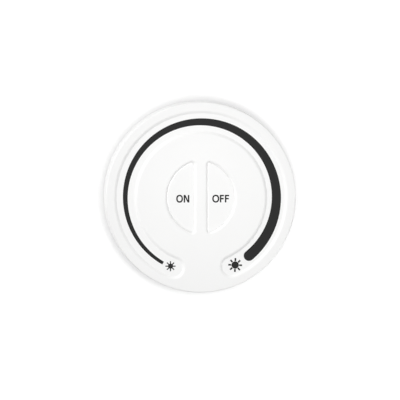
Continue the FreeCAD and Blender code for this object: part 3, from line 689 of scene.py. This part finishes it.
# %% The words ON and OFF
cap_height = 2.76 * mm
stroke = 0.53 * mm
overshoot = 0.06 * mm                           # how far an O passes the other letters, above and below
word_middle = -0.43 * mm                        # the words' middle lies a little below the face's
diagonal_width = 1.22 * stroke                  # of the N's diagonal, measured level
diagonal_rise = 1.35 * diagonal_width           # from the N's corner down to where diagonal and stem part
middle_bar_share = 0.93                         # of the F's width, how far its middle bar goes
letter_foot = word_middle - cap_height / 2
letter_top = word_middle + cap_height / 2


def letter_o(left, width):
    """An outer oval and the hole in it."""
    centre = (left + width / 2, word_middle)
    half_height = cap_height / 2 + overshoot
    return [oval(centre, width / 2, half_height), oval(centre, width / 2 - stroke, half_height - stroke)]


def letter_n(left, width):
    right = left + width
    return [[
        (left, letter_foot), (left + stroke, letter_foot), (left + stroke, letter_top - diagonal_rise),
        (right - diagonal_width, letter_foot), (right, letter_foot), (right, letter_top),
        (right - stroke, letter_top), (right - stroke, letter_foot + diagonal_rise),
        (left + diagonal_width, letter_top), (left, letter_top),
    ]]


def letter_f(left, width):
    inner = left + stroke
    right = left + width
    bar_end = left + width * middle_bar_share
    bar_foot = word_middle - stroke / 2
    bar_top = word_middle + stroke / 2
    return [[
        (left, letter_foot), (inner, letter_foot), (inner, bar_foot), (bar_end, bar_foot),
        (bar_end, bar_top), (inner, bar_top), (inner, letter_top - stroke), (right, letter_top - stroke),
        (right, letter_top), (left, letter_top),
    ]]


on_word = [
    letter_o(left=-9.04 * mm, width=2.46 * mm),
    letter_n(left=-6.31 * mm, width=2.06 * mm),
]
off_word = [
    letter_o(left=4.15 * mm, width=2.55 * mm),
    letter_f(left=6.92 * mm, width=1.52 * mm),
    letter_f(left=8.77 * mm, width=1.52 * mm),
]
print("letters drawn:", len(on_word) + len(off_word))

# %% [markdown]
# The ink itself is a charcoal that dries matt. One flat dark value would look like a hole in the white
# plastic, so its colour, its gloss and its skin vary a little, as a layer pressed through a screen does.

# %% The ink's finish
ink_dark = grey(0.009)
ink_pale = grey(0.014)
ink_cloud_size = 0.5 * mm
ink_roughness = 0.6
ink_gloss = 0.15
ink_sheen = 0.3
ink_relief = 0.003 * mm


def ink_finish():
    finish = Finish("charcoal_ink")
    film = finish.noise(ink_cloud_size, detail=3.0)
    tint = finish.blend(film, ink_dark, ink_pale)
    gloss = swing(ink_roughness, film, ink_gloss)
    relief = finish.bump(film, ink_relief)
    return finish.surface(Base_Color=tint, Roughness=gloss, Specular_IOR_Level=ink_sheen, Normal=relief)


ink = ink_finish()
print("ink ready:", ink.name)

# %% [markdown]
# An outline becomes a printed layer in three steps, and the first fills it with triangles. A fine grid cut
# to the outline would follow the moulding more closely, but no stretch of ink is wider than 4 mm, and over
# that width the face curves by only two thousandths of a millimetre. So triangles from side to side will do.

# %% Fill an outline
def fill(sheet, loops):
    """Adds the area inside the first loop, less the area inside any others."""
    edges = []
    for loop in loops:
        corners = [sheet.verts.new((x, y, 0)) for x, y in loop]
        edges += [sheet.edges.new(pair) for pair in zip(corners, corners[1:] + corners[:1])]
    bmesh.ops.triangle_fill(sheet, use_beauty=True, use_dissolve=False, edges=edges, normal=(0, 0, 1))


print("fill ready")

# %% [markdown]
# In the second step each corner drops straight down onto the moulding below it, and in the third the layer
# gets its thickness. A Shrinkwrap modifier could press the layer on as well, but a ray that falls straight
# down leaves each corner exactly where the outline has it, as seen from the front.

# %% Lay the ink on a moulding
drop_height = 0.02                              # in metres, well above the face
straight_down = Vector((0, 0, -1))


def surface_under(solid):
    """A function that gives the height of the solid's surface at a place in the plane."""
    tree = BVHTree.FromPolygons([vertex.co for vertex in solid.data.vertices],
                                [list(face.vertices) for face in solid.data.polygons])

    def height_at(x, y):
        hit = tree.ray_cast(Vector((x, y, drop_height)), straight_down)
        return hit[0].z
    return height_at


def printed(name, body, solid, areas):
    """Makes one piece of ink from areas, each a list of loops."""
    sheet = bmesh.new()
    for loops in areas:
        fill(sheet, loops)
    bmesh.ops.recalc_face_normals(sheet, faces=sheet.faces)
    height_at = surface_under(solid)
    for vertex in sheet.verts:
        vertex.co.z = height_at(vertex.co.x, vertex.co.y)
    raised = bmesh.ops.extrude_face_region(sheet, geom=sheet.faces[:])
    top = [item for item in raised["geom"] if isinstance(item, bmesh.types.BMVert)]
    bmesh.ops.translate(sheet, verts=top, vec=(0, 0, ink_thickness))
    bmesh.ops.recalc_face_normals(sheet, faces=sheet.faces)
    mesh = bpy.data.meshes.new(name)
    sheet.to_mesh(mesh)
    sheet.free()
    piece = bpy.data.objects.new(name, mesh)
    bpy.context.scene.collection.objects.link(piece)
    mesh.materials.append(ink)
    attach(piece, body)
    print(name, "has", len(mesh.polygons), "faces")


print("printing ready")

# %% [markdown]
# Five pieces of ink come out. The scale and the suns stay with the case. Each word could be part of the same
# print, but it has to sink with its key, so it is a piece of its own that rides on the key.

# %% Print the marks
cover = frame["nodes"]["front_cover"]
printed("scale_ink", "case", cover, scale_mark)
printed("dim_sun_ink", "case", cover, dim_sun_mark)
printed("bright_sun_ink", "case", cover, bright_sun_mark)
for key, word in (("on", on_word), ("off", off_word)):
    printed(key + "_word_ink", key + "_key", frame["nodes"][key + "_keycap"], word)
